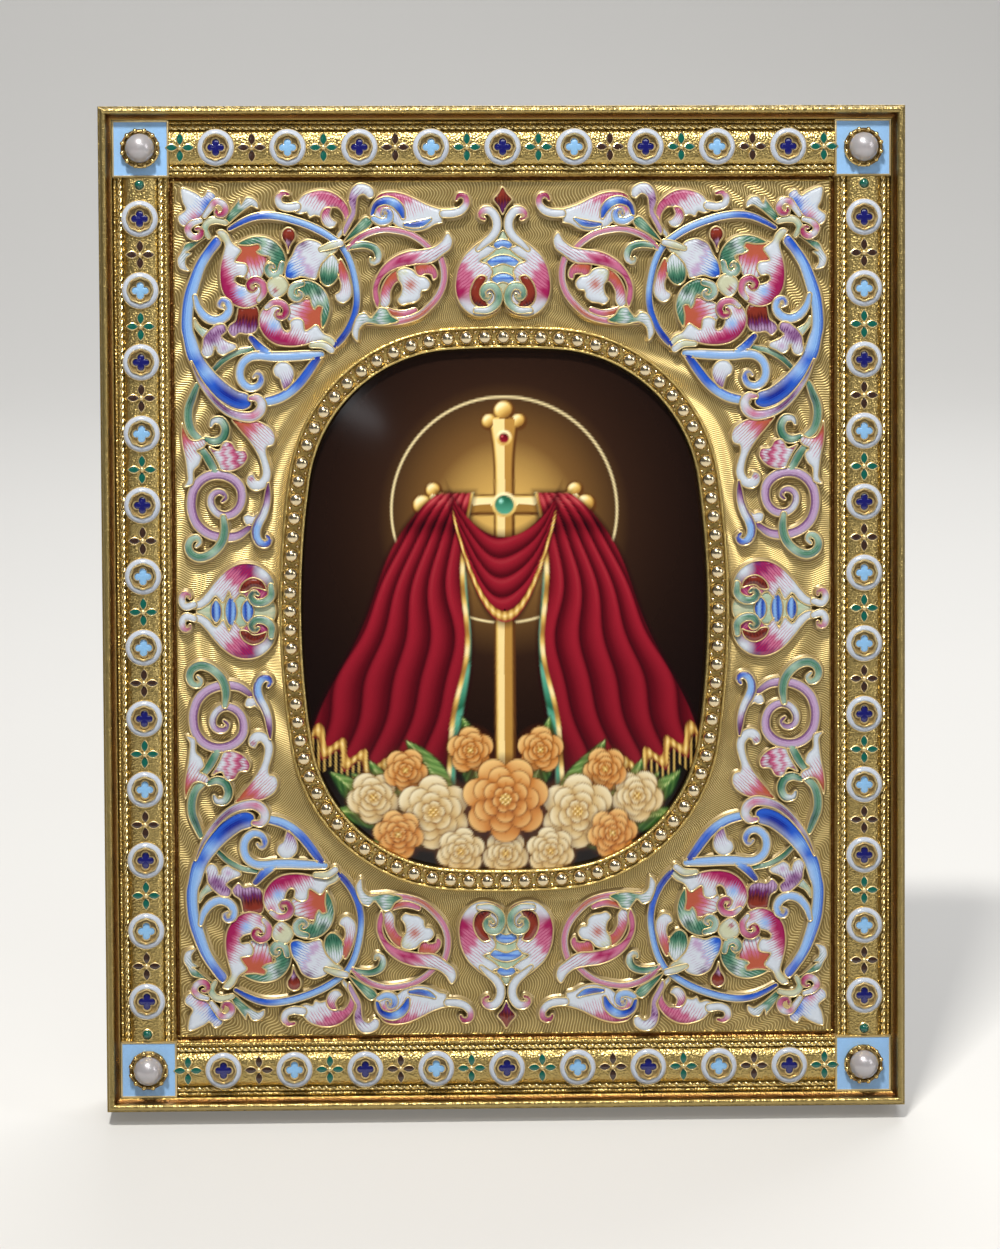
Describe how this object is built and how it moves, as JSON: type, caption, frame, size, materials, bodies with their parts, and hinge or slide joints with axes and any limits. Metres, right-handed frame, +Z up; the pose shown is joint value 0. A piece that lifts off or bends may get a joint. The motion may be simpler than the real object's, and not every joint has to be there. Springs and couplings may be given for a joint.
{
  "type": "religious icon",
  "caption": "Standing table icon: domed enamel plaque in a beaded oval bezel, gilt frame with enamelled scrollwork, corner pearls and a folding rear strut.",
  "frame": {"origin": "centre of the overall box's foot, on the table plane", "axes": "+Z up, -Y towards the viewer, +X to the viewer's right; the frame leans back by ten degrees"},
  "size_m": [0.16, 0.0738, 0.1999],
  "materials": {
    "moulding_gilt": "polished gilt",
    "rail_gilt": "stippled gilt",
    "wire_gilt": "twisted gilt wire",
    "roundel_enamel": "glossy enamel on gilt",
    "flower_enamel": "glossy enamel on gilt",
    "block_gilt": "polished gilt",
    "block_enamel": "glossy enamel",
    "collet_gilt": "polished gilt",
    "pearl": "nacreous",
    "scroll_enamel": "painted enamel with gilt edges",
    "panel_gilt": "engraved gilt",
    "bezel_gilt": "polished gilt",
    "plaque_enamel": "glossy painted enamel",
    "board_wood": "oiled walnut",
    "strut_wood": "oiled walnut",
    "pad_felt": "felt",
    "hinge_brass": "satin"
  },
  "bodies": {
    "frame": {"back_board": "board_wood", "back_screws": "hinge_brass", "bezel": "bezel_gilt", "bezel_beads": "bezel_gilt", "core_board": "board_wood", "corner_block_lower_left": "block_gilt", "corner_block_lower_right": "block_gilt", "corner_block_upper_left": "block_gilt", "corner_block_upper_right": "block_gilt", "corner_enamels": "block_enamel", "enamel_plaque": "plaque_enamel", "end_studs": "flower_enamel", "flowers_bottom": "flower_enamel", "flowers_left": "flower_enamel", "flowers_right": "flower_enamel", "flowers_top": "flower_enamel", "hinge_pin": "hinge_brass", "hinge_plate": "hinge_brass", "hinge_screws": "hinge_brass", "inner_panel": "panel_gilt", "outer_moulding_bottom": "moulding_gilt", "outer_moulding_left": "moulding_gilt", "outer_moulding_right": "moulding_gilt", "outer_moulding_top": "moulding_gilt", "palmette_bottom": "scroll_enamel", "palmette_left": "scroll_enamel", "palmette_right": "scroll_enamel", "palmette_top": "scroll_enamel", "pearl_collet_lower_left": "collet_gilt", "pearl_collet_lower_right": "collet_gilt", "pearl_collet_upper_left": "collet_gilt", "pearl_collet_upper_right": "collet_gilt", "pearl_lower_left": "pearl", "pearl_lower_right": "pearl", "pearl_upper_left": "pearl", "pearl_upper_right": "pearl", "rail_bottom": "rail_gilt", "rail_left": "rail_gilt", "rail_right": "rail_gilt", "rail_top": "rail_gilt", "rope_wires_bottom": "wire_gilt", "rope_wires_left": "wire_gilt", "rope_wires_right": "wire_gilt", "rope_wires_top": "wire_gilt", "roundels_bottom": "roundel_enamel", "roundels_left": "roundel_enamel", "roundels_right": "roundel_enamel", "roundels_top": "roundel_enamel", "scroll_lower_left": "scroll_enamel", "scroll_lower_right": "scroll_enamel", "scroll_upper_left": "scroll_enamel", "scroll_upper_right": "scroll_enamel"},
    "strut": {"strut_foot_pad": "pad_felt", "strut_leaf": "strut_wood", "strut_strap": "hinge_brass"}
  },
  "joints": [
    {"name": "strut_hinge", "type": "hinge", "parent": "frame", "child": "strut", "pos_m": [0, 0.00915, 0.13728], "axis": [-1, 0, 0], "range_deg": [0, 20]}
  ]
}
